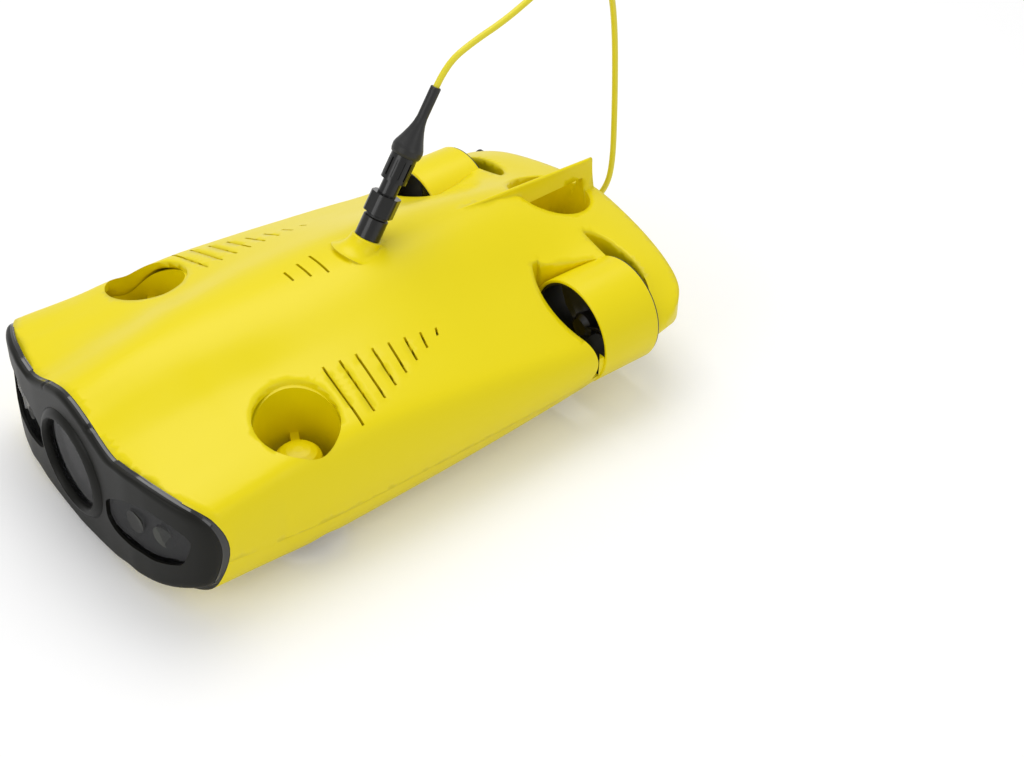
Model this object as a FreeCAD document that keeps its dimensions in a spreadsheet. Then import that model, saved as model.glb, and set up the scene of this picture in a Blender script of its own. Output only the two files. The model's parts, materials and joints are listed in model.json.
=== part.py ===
# Underwater inspection vehicle, nose towards -Y, port side +X, standing on z = 0.
# Millimetres. The driving dimensions are in the Sizes sheet and every piece follows from them.
import FreeCAD, Part

import math
import os
import re

import Sketcher
from FreeCAD import Placement, Rotation, Vector

doc = FreeCAD.newDocument("inspection_rov")
sheet = doc.addObject("Spreadsheet::Sheet", "Sizes")

SIZES = {
    # Hull shells and nose
    "wall": 3.0,
    "seam_height": 29.0,
    "nose_edge": 176.0,
    "nose_front": 187.5,
    "nose_sweep": 26.0,
    "face_sweep": 31.0,
    "gasket_width": 2.0,
    "gasket_inset": 0.8,
    "tail_tip": 191.5,
    "cavity_front": 140.0,
    "cavity_back": 86.0,
    "cavity_waist": 41.0,
    "cavity_tail": 124.0,
    # Camera and lamps
    "camera_height": 47.6,
    "camera_bore": 26.7,
    "camera_ring": 33.5,
    "bezel_chamfer": 2.0,
    "window_thickness": 2.0,
    "window_recess": 4.0,
    "camera_seat": 164.0,
    "camera_pocket": 30.0,
    "camera_flange": 6.0,
    "lens_radius": 12.0,
    "camera_block": 40.0,
    "camera_depth": 18.0,
    "lamp_recess": 2.5,
    "lamp_cover": 2.0,
    "lamp_floor": 151.4,
    "lamp_led": 5.0,
    "board_thickness": 1.6,
    # Vertical thrusters
    "lift_offset": 81.0,
    "lift_station": 91.0,
    "tail_lift_station": 157.0,
    "tunnel_bore": 24.0,
    "tunnel_wall": 3.0,
    "flare_height": 72.0,
    "flare_rise": 24.0,
    "flare_spread": 5.0,
    "hub_radius": 13.6,
    "hub_top": 62.0,
    "hub_height": 14.0,
    "arm_width": 5.0,
    "arm_depth": 5.0,
    "tail_hub_rise": 5.0,
    "motor_radius": 11.0,
    "motor_length": 13.0,
    "shaft_radius": 1.5,
    "shaft_clearance": 0.05,
    "propeller_gap": 0.3,
    "propeller_hub": 8.0,
    "propeller_length": 11.0,
    "blade_gap": 1.2,
    "blade_chord": 13.0,
    "blade_thickness": 1.4,
    "cap_length": 3.0,
    # Horizontal thrusters
    "duct_offset": 79.2,
    "duct_height": 49.5,
    "duct_front": 106.6,
    "duct_back": 148.3,
    "duct_radius": 33.5,
    "duct_wall": 2.2,
    "liner_wall": 1.5,
    "liner_proud": 0.8,
    "lip_radius": 58.0,
    "lip_middle": 92.5,
    "bay_inner": 46.5,
    "bay_outer": 106.0,
    "gap_centre": 70.0,
    "gap_reach": 30.0,
    "gap_depth": 13.0,
    "pod_radius": 9.0,
    "pod_length": 22.0,
    "pod_station": 125.0,
    "stator_chord": 9.0,
    "stator_width": 2.4,
    # Tether socket, plug and cord
    "boss_radius": 9.6,
    "boss_flare": 8.0,
    "boss_height": 11.0,
    "plug_tilt": 32.0,
    "plug_station": 14.9,
    "plug_base": 113.7,
    "socket_radius": 7.8,
    "socket_length": 13.5,
    "socket_neck": 6.4,
    "socket_gap": 2.0,
    "nut_radius": 9.3,
    "nut_length": 12.5,
    "plug_neck": 5.7,
    "plug_neck_length": 9.0,
    "ring_radius": 7.9,
    "ring_length": 16.0,
    "ring_clearance": 0.3,
    "boot_radius": 9.4,
    "boot_length": 24.0,
    "sleeve_radius": 3.2,
    "sleeve_length": 19.0,
    "tether_radius": 2.0,
    "coil_radius": 27.0,
    "coil_width": 21.0,
    "coil_height": 16.8,
    "coil_lead": 18.0,
    "first_run": 14.4,
    "far_plug_radius": 6.5,
    "far_plug_length": 34.0,
    # Fin and louvres
    "fin_station": 43.0,
    "fin_root": 107.0,
    "fin_tip": 102.0,
    "fin_thickness": 2.6,
    "fin_flare": 8.0,
    "louvre_width": 1.6,
    # Inside and underneath
    "vessel_radius": 30.0,
    "vessel_wall": 2.5,
    "vessel_height": 50.0,
    "vessel_front": 118.0,
    "vessel_back": 74.0,
    "lid_thickness": 6.0,
    "lid_overhang": 3.0,
    "seal_radius": 1.3,
    "saddle_width": 12.0,
    "battery_radius": 22.0,
    "battery_length": 92.0,
    "board_length": 78.0,
    "weight_width": 26.0,
    "weight_length": 60.0,
    "weight_thickness": 6.0,
    "foot_radius": 5.0,
    "screw_head": 3.0,
    "screw_length": 30.0,
    "screw_radius": 1.5,
    "screw_head_radius": 3.0,
    "screw_base": 10.0,
    "insert_radius": 3.175,
    "insert_wall": 2.3,
    "insert_length": 9.0,
    "insert_station": 40.0,
    "sensor_radius": 6.0,
    "sensor_height": 9.0,
    "sensor_station": 104.0,
}

for row, (name, number) in enumerate(SIZES.items(), 1):
    sheet.set(f"A{row}", name)
    sheet.set(f"B{row}", str(number))
    sheet.setAlias(f"B{row}", name)
doc.recompute()


class Cells:
    """The sheet's numbers by name, such as size.wall."""

    def __getattr__(self, name):
        return float(getattr(sheet, name))


size = Cells()
nodes = {}
X, Y, Z = Vector(1, 0, 0), Vector(0, 1, 0), Vector(0, 0, 1)
FAR = 400.0


# ---------------------------------------------------------------- helpers

def bind(feature, **formulas):
    """Tie a feature's properties to formulas on the sheet. A double underscore is a dot."""
    for prop, formula in formulas.items():
        cells = re.sub(r"[a-z][a-z_]+", lambda word: "Sizes." + word.group(0), formula)
        feature.setExpression(prop.replace("__", "."), cells)


def primitive(kind, label, at=(0, 0, 0), turn=None, **formulas):
    """A Part primitive such as Cylinder, with its sizes bound to the sheet."""
    feature = doc.addObject("Part::" + kind, label)
    bind(feature, **formulas)
    feature.Placement = Placement(Vector(*at), turn or Rotation())
    return feature


def combine(kind, label, base, tool):
    """A Part::Cut, Part::Fuse or Part::Common of two features."""
    feature = doc.addObject("Part::" + kind, label)
    feature.Base = base
    feature.Tool = tool
    return feature


def given(label, shape, placement=None):
    """A Part::Feature that holds a shape made by Part's own functions."""
    feature = doc.addObject("Part::Feature", label)
    feature.Shape = shape
    if placement:
        feature.Placement = placement
    return feature


def node(label, feature):
    """Name a finished sub-part, which is written to its own file."""
    feature.Label = label
    nodes[label] = feature
    return feature


def turned(label, outline, at, axis=Z):
    """A PartDesign body revolved from an outline of (radius, height) formulas."""
    body = doc.addObject("PartDesign::Body", label)
    sketch = body.newObject("Sketcher::SketchObject", label + "_outline")
    plane = [p for p in body.Origin.OriginFeatures if p.Role == "XZ_Plane"][0]
    sketch.AttachmentSupport = [(plane, "")]
    sketch.MapMode = "FlatFace"
    guess = [Vector(float(i % 7), float(i), 0) for i in range(len(outline))]
    for i, start in enumerate(guess):
        sketch.addGeometry(Part.LineSegment(start, guess[(i + 1) % len(guess)]))
    for i in range(len(outline)):
        sketch.addConstraint(Sketcher.Constraint("Coincident", i, 2, (i + 1) % len(outline), 1))
    for i, pair in enumerate(outline):
        for kind, formula in zip(("DistanceX", "DistanceY"), pair):
            if formula == "0" and kind == "DistanceX":
                sketch.addConstraint(Sketcher.Constraint("PointOnObject", i, 1, -2))
                continue
            number = sketch.addConstraint(Sketcher.Constraint(kind, -1, 1, i, 1, 1.0))
            bind(sketch, **{f"Constraints[{number}]": formula})
    spin = body.newObject("PartDesign::Revolution", label + "_turn")
    spin.Profile = sketch
    spin.ReferenceAxis = (sketch, ["V_Axis"])
    spin.Angle = 360
    body.Tip = spin
    body.Placement = Placement(Vector(*at), Rotation(Z, Vector(*axis)))
    return body


def plan_prism(points, low, high):
    """A vertical prism on a plan outline of points."""
    flat = [Vector(x, y, low) for x, y in points]
    wire = Part.makePolygon(flat + [flat[0]])
    return Part.Face(wire).extrude(Vector(0, 0, high - low))


def rod(radius, length, at, axis=Z):
    return Part.makeCylinder(radius, length, Vector(*at), Vector(*axis))


def slab(low, high):
    """A box between two opposite corners."""
    low, high = Vector(*low), Vector(*high)
    span = high - low
    return Part.makeBox(span.x, span.y, span.z, low)


def both_sides(shape):
    """A shape and its mirror image across the centre plane."""
    return [shape, shape.mirror(Vector(), X)]


# ---------------------------------------------------------------- hull form

# The hull is lofted through cross-sections. Each station gives its place along Y, the deck
# height above each buttock line, the half breadth with its height, and the belly height
# above each belly line.
BUTTOCKS = (0, 12, 24, 36, 48, 62, 80, 96, 106)
BELLY_LINES = (105, 95, 78, 58, 36, 0)
STATIONS = (
    (-206, (74, 67, 54, 45, 43, 44, 45, 38, 31), (109, 27), (20.5, 15, 12, 9, 3, 1.6)),
    (-178, (87, 80, 66, 56, 54.5, 55.5, 55, 48, 38), (109, 29), (20, 14, 10, 7, 2.4, 1.6)),
    (-152, (97, 91.5, 79, 67, 62, 62.5, 63, 55, 45), (109, 33), (20, 12, 8, 5, 2, 1.6)),
    (-122, (104.5, 102, 95.5, 85.5, 78.5, 75.5, 73.5, 67, 58), (110, 38), (17.5, 9, 4.8, 2.8, 1.7, 1.6)),
    (-91, (107.8, 106.8, 103.3, 97, 91, 87.5, 82.5, 76.5, 68), (111, 41), (16, 7.6, 3.8, 2.2, 1.6, 1.6)),
    (-50, (109.4, 108.4, 105.5, 100.5, 95, 90, 83.5, 75.5, 67), (111.8, 43), (17.5, 8.6, 4.2, 2.4, 1.6, 1.6)),
    (0, (110, 109, 106, 101, 95.5, 89.5, 80.5, 71.5, 63.5), (112.2, 43), (20, 10.2, 5.2, 2.8, 1.7, 1.6)),
    (50, (108.3, 107, 103.5, 98, 91.5, 84.5, 75.5, 66.5, 60), (112, 43), (23.5, 13, 7.2, 4, 2, 1.6)),
    (96, (104, 102.5, 98, 91.5, 84, 77, 70, 63.5, 58.5), (111.4, 45), (28, 17.5, 11, 6.8, 3.2, 2.2)),
    (125, (99.8, 98.2, 94, 88, 82, 77.2, 71.5, 65, 60), (111.4, 47), (32.5, 22.5, 15.6, 11, 7, 5)),
    (148, (92.5, 91.5, 89, 85.5, 82, 78.6, 73.5, 66.5, 60.5), (111.4, 49), (38, 30, 24, 19.5, 16, 14)),
    (164, (87.5, 87, 85, 82.5, 80, 77, 72.5, 65.5, 60), (111, 51), (45, 44, 43, 36, 22, 16)),
    (178, (84, 83.5, 82, 80, 77.8, 75, 70.5, 63.8, 58.5), (110, 52.5), (48, 51, 54, 50, 34, 28)),
    (200, (78, 77.5, 76, 74, 72, 69, 65, 59, 55), (108, 52.5), (50, 53, 58, 60, 58, 56)),
)


def cross_section(station, inset):
    """The points of one section of the hull, from the keel round to the keel, drawn in by an inset."""
    along, deck, (breadth, shoulder), belly = station
    squeeze = (breadth - inset) / breadth
    side = [Vector(x * squeeze, along, height + inset) for x, height in zip(BELLY_LINES[::-1], belly[::-1])]
    side.append(Vector(breadth - inset, along, shoulder))
    side += [Vector(x * squeeze, along, height - inset) for x, height in zip(BUTTOCKS[::-1], deck[::-1])]
    return side + [Vector(-p.x, p.y, p.z) for p in side[-2::-1]]


def sharpened(row):
    """Control points that bring a cubic curve back onto the points of a row."""
    inner = [row[i] - (row[i - 1] - row[i] * 2 + row[i + 1]) * (1 / 6) for i in range(1, len(row) - 1)]
    return [row[0]] + inner + [row[-1]]


def clamped(count):
    """Multiplicities and knots of a clamped cubic with this many control points."""
    spans = count - 3
    return [4] + [1] * (spans - 1) + [4], [i / spans for i in range(spans + 1)]


def hull_form(inset=0.0, stations=STATIONS):
    """The closed hull body before anything is cut from it."""
    net = [sharpened(cross_section(station, inset)) for station in stations]
    columns = [sharpened(list(column)) for column in zip(*net)]
    poles = [list(row) for row in zip(*columns)]
    (along_mults, along_knots), (round_mults, round_knots) = clamped(len(poles)), clamped(len(poles[0]))
    surface = Part.BSplineSurface()
    surface.buildFromPolesMultsKnots(poles, along_mults, round_mults, along_knots, round_knots,
                                     False, False, 3, 3)
    first, last, keel, round_again = surface.bounds()
    halves = []
    for low, high in ((keel, (keel + round_again) / 2), ((keel + round_again) / 2, round_again)):
        half = surface.copy()
        half.segment(first, last, low, high)
        halves.append(half.toShape())
    ends = []
    for end in (first, last):
        edges = [e for half in halves for e in half.Edges
                 if abs(e.CenterOfMass.y - surface.value(end, keel).y) < 1e-3]
        ends.append(Part.Face(Part.Wire(Part.__sortEdges__(edges))))
    shell = Part.makeShell(halves + ends)
    shell.sewShape()
    return Part.makeSolid(shell)


def swept_edge(middle, sweep, reach=130.0):
    """The plan curve of the nose or tail: a parabola, sweep behind its middle at half breadth."""
    rise = sweep * (reach / 108.0) ** 2
    curve = Part.BSplineCurve()
    curve.buildFromPolesMultsKnots(
        [Vector(-reach, middle + rise, 0), Vector(0, middle - rise, 0), Vector(reach, middle + rise, 0)],
        [3, 3], [0, 1], False, 2)
    return curve.toShape()


def plan_behind(middle, sweep, back=FAR):
    """Everything behind a swept plan curve, as far as the line y = back."""
    edge = swept_edge(middle, sweep)
    ends = [v.Point for v in edge.Vertexes]
    corners = [ends[1], Vector(ends[1].x, back, 0), Vector(ends[0].x, back, 0), ends[0]]
    wire = Part.Wire([edge, Part.makePolygon(corners)])
    solid = Part.Face(Part.Wire(wire.OrderedEdges)).extrude(Vector(0, 0, FAR))
    solid.translate(Vector(0, 0, -FAR / 2))
    return solid


def tail_behind():
    """Everything behind the tail's plan curve, which rounds forward at both ends."""
    port = [(0, size.tail_tip), (28, size.tail_tip - 0.9), (56, size.tail_tip - 3.6),
            (82, size.tail_tip - 8.4), (97, size.tail_tip - 13.5), (106, size.tail_tip - 22),
            (110.5, size.tail_tip - 34), (112, size.tail_tip - 46)]
    curve = Part.BSplineCurve()
    curve.interpolate([Vector(-x, y, 0) for x, y in port[:0:-1]] + [Vector(x, y, 0) for x, y in port])
    edge = curve.toShape()
    side = port[-1][1]
    corners = [Vector(112, side, 0), Vector(FAR, side, 0), Vector(FAR, FAR, 0), Vector(-FAR, FAR, 0),
               Vector(-FAR, side, 0), Vector(-112, side, 0)]
    wire = Part.Wire(Part.Wire([edge, Part.makePolygon(corners)]).OrderedEdges)
    solid = Part.Face(wire).extrude(Vector(0, 0, FAR))
    solid.translate(Vector(0, 0, -FAR / 2))
    return solid


outer = hull_form()
cavity_form = hull_form(size.wall, STATIONS[1:11])
tunnels = ((size.lift_offset, -size.lift_station), (-size.lift_offset, -size.lift_station),
           (0.0, size.tail_lift_station))
ducts = (size.duct_offset, -size.duct_offset)
plug_axis = Vector(0, math.sin(math.radians(size.plug_tilt)), math.cos(math.radians(size.plug_tilt)))
plug_foot = Vector(0, size.plug_station, size.plug_base)


def on_plug(distance):
    """A point on the plug's axis, measured from the top of the boss."""
    return plug_foot + plug_axis * distance


# ---------------------------------------------------------------- openings in the hull

def tunnel_cut(x, y):
    """A thruster tunnel with a mouth that flares into the deck."""
    bore, spread = size.tunnel_bore, size.flare_spread
    top = size.flare_height + size.flare_rise
    knee = Vector(bore, 0, size.flare_height)
    outline = Part.Wire([
        Part.LineSegment(Vector(0, 0, -5), Vector(bore, 0, -5)).toShape(),
        Part.LineSegment(Vector(bore, 0, -5), knee).toShape(),
        Part.Arc(knee, Vector(bore + 0.22 * spread, 0, (knee.z + top) / 2),
                 Vector(bore + spread, 0, top)).toShape(),
        Part.LineSegment(Vector(bore + spread, 0, top), Vector(bore + 3 * spread, 0, FAR / 2)).toShape(),
        Part.LineSegment(Vector(bore + 3 * spread, 0, FAR / 2), Vector(0, 0, FAR / 2)).toShape(),
        Part.LineSegment(Vector(0, 0, FAR / 2), Vector(0, 0, -5)).toShape(),
    ])
    solid = Part.Face(outline).revolve(Vector(), Z, 360)
    solid.translate(Vector(x, y, 0))
    return solid


def duct_bay():
    """The port side room round a thruster barrel: its intake slot and the deck cut away over it."""
    axis, radius = size.duct_offset, size.lip_radius
    front = [(axis + radius * math.sin(a), size.lip_middle + radius * (1 - math.cos(a)))
             for a in (-0.587, -0.3, 0.0, 0.3, 0.587)]
    over = front + [(140, front[-1][1]), (140, size.duct_back), (64.5, size.duct_back), (60.5, 138)]
    lip = Part.BSplineCurve()
    lip.interpolate([Vector(x, y, 0) for x, y in front])
    rest = Part.makePolygon([Vector(x, y, 0) for x, y in over[4:] + over[:1]])
    deck = Part.Face(Part.Wire(Part.Wire([lip.toShape(), rest]).OrderedEdges)).extrude(Vector(0, 0, FAR / 2))
    deck.translate(Vector(0, 0, size.duct_height))
    back = size.duct_front + 0.5
    low = Part.makePolygon([Vector(*front[-1], 0), Vector(size.bay_outer, back, 0),
                            Vector(size.bay_inner, back, 0), Vector(*front[0], 0)])
    slot = Part.Face(Part.Wire(Part.Wire([lip.toShape(), low]).OrderedEdges)).extrude(Vector(0, 0, FAR / 2))
    throat = slab((size.duct_offset - 24, 0, -5), (size.duct_offset + 20, FAR / 2, FAR / 2))
    upper = slot.copy()
    upper.translate(Vector(0, 0, size.duct_height - 16))
    return [deck, upper, slot.common(throat)]


def tail_gap():
    """The port side gap between the barrel's rear rim and the tail bar."""
    ellipse = Part.Ellipse(Vector(size.gap_centre, size.duct_back, -5), size.gap_reach, size.gap_depth)
    gap = Part.Face(Part.Wire(ellipse.toShape())).extrude(Vector(0, 0, FAR / 2))
    front = slab((0, 0, -5), (FAR / 2, size.duct_back, FAR / 2))
    return gap.cut(front)


def louvre(x_inner, x_outer, y, sweep):
    """A narrow slot through the deck, swept forward outboard."""
    half = size.louvre_width / 2
    points = [(x_inner, y - half), (x_outer, y - sweep - half),
              (x_outer, y - sweep + half), (x_inner, y + half)]
    return plan_prism(points, size.vessel_height + 8, FAR / 2)


# ---------------------------------------------------------------- hull shells

hull_cuts = [tunnel_cut(x, y) for x, y in tunnels]
for shape in duct_bay() + [tail_gap()]:
    hull_cuts += both_sides(shape)
for x in ducts:
    hull_cuts.append(rod(size.duct_radius, size.duct_back - size.duct_front + 0.5,
                         (x, size.duct_front, size.duct_height), Y))
shells = outer.common(plan_behind(-size.nose_edge, size.nose_sweep))
shells = shells.cut(tail_behind())


def fin():
    """The tail fin: an upright blade on a flared root, with a near-upright rear edge."""
    sections = []
    for share in (0.0, 0.35, 0.7, 1.0):
        y = size.fin_station + (size.tail_tip - 2.0 - size.fin_station) * share
        top = size.fin_root + (size.fin_tip - size.fin_root) * share
        half, flare = size.fin_thickness / 2, size.fin_flare * (0.25 + 0.75 * share)
        base = 96.0 - 21.0 * share ** 2
        flank = [Vector(half, y, top - 1.2), Vector(half + 0.12 * flare, y, top - 0.45 * (top - base)),
                 Vector(half + 0.4 * flare, y, top - 0.8 * (top - base)), Vector(half + flare, y, base - 6)]
        port = Part.BSplineCurve()
        port.interpolate(flank)
        far = Part.BSplineCurve()
        far.interpolate([Vector(-p.x, p.y, p.z) for p in flank])
        crest = Part.Arc(flank[0], Vector(0, y, top), Vector(-half, y, top - 1.2)).toShape()
        floor = Part.LineSegment(flank[-1], Vector(-flank[-1].x, y, flank[-1].z)).toShape()
        edges = [port.toShape(), floor, far.toShape(), crest]
        sections.append(Part.Wire(Part.__sortEdges__(edges)))
    return Part.makeLoft(sections, True, False)


def boss():
    """The flared boss that the tether socket stands on, leaning aft."""
    radius, flare, height = size.boss_radius, size.boss_flare, size.boss_height
    outline = Part.Wire([
        Part.LineSegment(Vector(0, 0, 0), Vector(radius - 0.8, 0, 0)).toShape(),
        Part.Arc(Vector(radius - 0.8, 0, 0), Vector(radius - 0.25, 0, -0.25), Vector(radius, 0, -1)).toShape(),
        Part.Arc(Vector(radius, 0, -1), Vector(radius + 0.22 * flare, 0, -1 - 0.55 * height),
                 Vector(radius + flare, 0, -1 - height)).toShape(),
        Part.LineSegment(Vector(radius + flare, 0, -1 - height), Vector(0, 0, -1 - height)).toShape(),
        Part.LineSegment(Vector(0, 0, -1 - height), Vector(0, 0, 0)).toShape(),
    ])
    solid = Part.Face(outline).revolve(Vector(), Z, 360)
    solid.Placement = Placement(plug_foot, Rotation(Z, plug_axis))
    return solid


def spline_prism(points, near, far):
    """A prism along Y on a smooth closed outline of (x, z) points."""
    curve = Part.BSplineCurve()
    curve.interpolate([Vector(x, near, z) for x, z in points], PeriodicFlag=True)
    return Part.Face(Part.Wire(curve.toShape())).extrude(Vector(0, far - near, 0))


LAMP_OUTLINE = ((33.4, 42.8), (37.8, 47.0), (44, 49.8), (54, 51.9), (64, 52.2), (79, 48.8), (87, 44.6),
                (89.3, 40), (87, 32), (83.4, 23.8), (78, 19.4), (66, 15.8), (54, 16.4), (40, 20.2),
                (33.6, 25.5), (32.3, 34))
SCREWS = ((50.0, -145.5), (50.0, 92.5))
FEET = ((52.0, -62.0), (52.0, 60.0))

raised = fin().cut(rod(size.tunnel_bore, 96, (0, size.tail_lift_station, -5)))
cavity = cavity_form.common(plan_prism(
    [(-FAR, -size.cavity_front), (FAR, -size.cavity_front), (FAR, size.cavity_back),
     (size.cavity_waist, size.cavity_back), (size.cavity_waist, size.cavity_tail),
     (-size.cavity_waist, size.cavity_tail), (-size.cavity_waist, size.cavity_back),
     (-FAR, size.cavity_back)], -5, FAR / 2))
socket_hole = rod(size.socket_neck, 40, on_plug(-25), plug_axis)
lamp_pockets = both_sides(spline_prism(LAMP_OUTLINE, -FAR / 2, -size.lamp_floor))
camera_pocket = rod(size.camera_pocket, FAR / 2 - size.cavity_front + 1, (0, -FAR / 2, size.camera_height), Y)
sensor_hole = rod(size.sensor_radius - 2, 30, (0, size.sensor_station, -5))
screw_holes = []
for x, y in SCREWS:
    shank = rod(size.screw_radius, size.screw_length, (x, y, size.screw_base))
    screw_holes += both_sides(shank.fuse(rod(size.screw_head_radius, size.screw_base + 8, (x, y, -5))))
louvres = []
for i in range(8):
    y = -59.0 + 10.6 * i
    louvres += both_sides(louvre(60.0 + 0.8 * i, 101.0 - 4.4 * i, y, 2.0))
for i in range(3):
    reach = 5.0 + 2.6 * i
    y = -41.0 + 10.4 * i
    louvres.append(plan_prism([(-reach, y), (reach, y), (reach, y + size.louvre_width),
                               (-reach, y + size.louvre_width)], 90, FAR / 2))

hull = shells.fuse(boss()).cut(hull_cuts + [cavity, socket_hole, camera_pocket] + lamp_pockets)
hull = hull.fuse(raised)
seam = slab((-FAR, -FAR, size.seam_height), (FAR, FAR, FAR))
upper = hull.common(seam).cut(louvres + screw_holes)
vessel_space = rod(size.vessel_radius, FAR, (0, -FAR / 2, size.vessel_height), Y)
saddles = [slab((-size.vessel_radius, y - size.saddle_width / 2, -5),
                (size.vessel_radius, y + size.saddle_width / 2, size.seam_height)).cut(vessel_space)
           for y in (-86.0, 30.0)]
insert_boss = rod(2 * size.insert_wall + size.insert_radius + 3, size.insert_length + 8,
                  (0, size.insert_station, -5))
inside = [piece.common(cavity) for piece in saddles + [insert_boss]]
insert_hole = rod(size.insert_radius + size.insert_wall, size.insert_length + 7, (0, size.insert_station, -5))
lower = hull.cut(seam).fuse(inside).cut(screw_holes + [insert_hole, sensor_hole])
node("upper_shell", given("upper_shell", upper))
node("lower_shell", given("lower_shell", lower))


# ---------------------------------------------------------------- nose

def nose_layer(inset, front, front_sweep, back, back_sweep):
    """The slice of the hull form between two plan curves ahead of the shells."""
    return hull_form(inset).common(plan_behind(-front, front_sweep)).cut(plan_behind(-back, back_sweep))


ring_hole = rod(size.camera_ring, FAR, (0, -FAR / 2, size.camera_height), Y)
gasket_front = size.nose_edge + size.gasket_width
node("face_gasket", given("face_gasket", nose_layer(
    size.gasket_inset, gasket_front, size.nose_sweep, size.nose_edge, size.nose_sweep
).cut([ring_hole] + lamp_pockets)))
face = nose_layer(2 * size.gasket_inset, size.nose_front, size.face_sweep, gasket_front, size.nose_sweep)
node("front_face", given("front_face", face.cut([ring_hole] + lamp_pockets)))
for side, flip in (("port", 1), ("starboard", -1)):
    window = spline_prism(LAMP_OUTLINE, -FAR / 2, -size.lamp_floor)
    window = window.common(plan_behind(-size.nose_front + size.lamp_recess, size.face_sweep))
    window = window.cut(plan_behind(-size.nose_front + size.lamp_recess + size.lamp_cover, size.face_sweep))
    board = spline_prism(LAMP_OUTLINE, -size.lamp_floor - size.board_thickness, -size.lamp_floor)
    for x in (50.0, 70.0):
        lamp = Part.makeSphere(size.lamp_led, Vector(x, -size.lamp_floor, 34.0))
        board = board.fuse(lamp.cut(slab((0, -size.lamp_floor - 0.8, 0), (FAR, 0, FAR))))
    if flip < 0:
        window, board = window.mirror(Vector(), X), board.mirror(Vector(), X)
    node("lamp_window_" + side, given("lamp_window_" + side, window))
    node("lamp_board_" + side, given("lamp_board_" + side, board))

camera_axis = (0, -size.nose_edge, size.camera_height)
rim = "(tail_tip-nose_edge)"
node("camera_bezel", turned("camera_bezel", [
    ("camera_bore", "0"), ("camera_ring", "0"), ("camera_ring", rim + "-bezel_chamfer"),
    ("camera_ring-0.6*bezel_chamfer", rim), ("camera_bore+1.4*bezel_chamfer", rim),
    ("camera_bore", rim + "-window_recess+0.4")], camera_axis, -Y))
window = doc.addObject("Part::Cylinder", "camera_window")
bind(window, Radius="camera_bore", Height="window_thickness")
window.Placement = Placement(Vector(0, -size.tail_tip + size.window_recess + size.window_thickness,
                                    size.camera_height), Rotation(Z, -Y))
node("camera_window", window)
seat = (0, -size.camera_seat, size.camera_height)
reach = "(tail_tip-window_recess-window_thickness-camera_seat)"
node("camera_barrel", turned("camera_barrel", [
    ("lens_radius", "0"), ("camera_bore-3", "0"), ("camera_bore-3", "nose_edge-camera_seat"),
    ("camera_bore", "nose_edge-camera_seat+2"), ("camera_bore", reach), ("camera_bore-2", reach),
    ("lens_radius+2", "5"), ("lens_radius", "4")], seat, -Y))
node("camera_lens", turned("camera_lens", [
    ("0", "0"), ("lens_radius", "0"), ("lens_radius", "4"), ("lens_radius-1", "6.5"), ("lens_radius-3", "8.8"),
    ("lens_radius-6", "10.6"), ("lens_radius-9", "11.4"), ("0", "11.7")], seat, -Y))
block = doc.addObject("Part::Box", "camera_block_box")
bind(block, Length="camera_block", Width="camera_depth", Height="camera_block")
block.Placement = Placement(Vector(-size.camera_block / 2, -size.camera_seat,
                                   size.camera_height - size.camera_block / 2), Rotation())
flange = primitive("Cylinder", "camera_flange_disc",
                   (0, -size.cavity_front - size.camera_flange, size.camera_height), Rotation(Z, Y),
                   Radius="camera_pocket", Height="camera_flange")
node("camera_body", combine("Fuse", "camera_body", block, flange))


# ---------------------------------------------------------------- thrusters

def blade(root, tip, chord, pitch):
    """One propeller blade along +X, thinning and untwisting towards its tip."""
    sections = []
    for share, width in ((0.0, 0.8), (0.35, 1.05), (0.7, 1.0), (1.0, 0.62)):
        radius = root + (tip - root) * share
        turn = math.atan2(pitch, 2 * math.pi * max(radius, 4.0))
        thick = size.blade_thickness * (1.5 - 0.9 * share)
        reach = chord * width / 2
        points = []
        for along, up in ((1, 0), (0.55, 0.36), (-0.1, 0.5), (-0.7, 0.3), (-1, 0), (-0.7, -0.1), (0.55, -0.1)):
            a, b = along * reach + 2.5 * share ** 2, up * thick
            points.append(Vector(radius, a * math.cos(turn) - b * math.sin(turn),
                                 a * math.sin(turn) + b * math.cos(turn)))
        sections.append(Part.makePolygon(points + points[:1]))
    return Part.makeLoft(sections, True, True)


def propeller(radius, chord, pitch, hand):
    """A three-bladed propeller on +Z, open at the shaft's end and capped at the other."""
    hub, length, cap = size.propeller_hub, size.propeller_length, size.cap_length
    shape = rod(hub, length - cap, (0, 0, 0)).fuse(
        Part.makeCone(hub, hub - 2.5, cap, Vector(0, 0, length - cap), Z))
    for i in range(3):
        one = blade(hub - 2, radius + 1, chord, hand * pitch)
        one.translate(Vector(0, 0, (length - cap / 2) / 2))
        one.rotate(Vector(), Z, 120 * i)
        shape = shape.fuse(one)
    shape = shape.common(rod(radius, length, (0, 0, 0)))
    return shape.cut(rod(size.shaft_radius + size.shaft_clearance, length - cap, (0, 0, 0)))


def thruster_motor(label, at, axis, radius, length):
    """A motor can with its shaft, which stops short of the end of the propeller's bore."""
    end = f"{length}+propeller_length-cap_length"
    return turned(label, [("0", "0"), (radius, "0"), (radius, length), ("shaft_radius", length),
                          ("shaft_radius", end), ("0", end)], at, axis)


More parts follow.
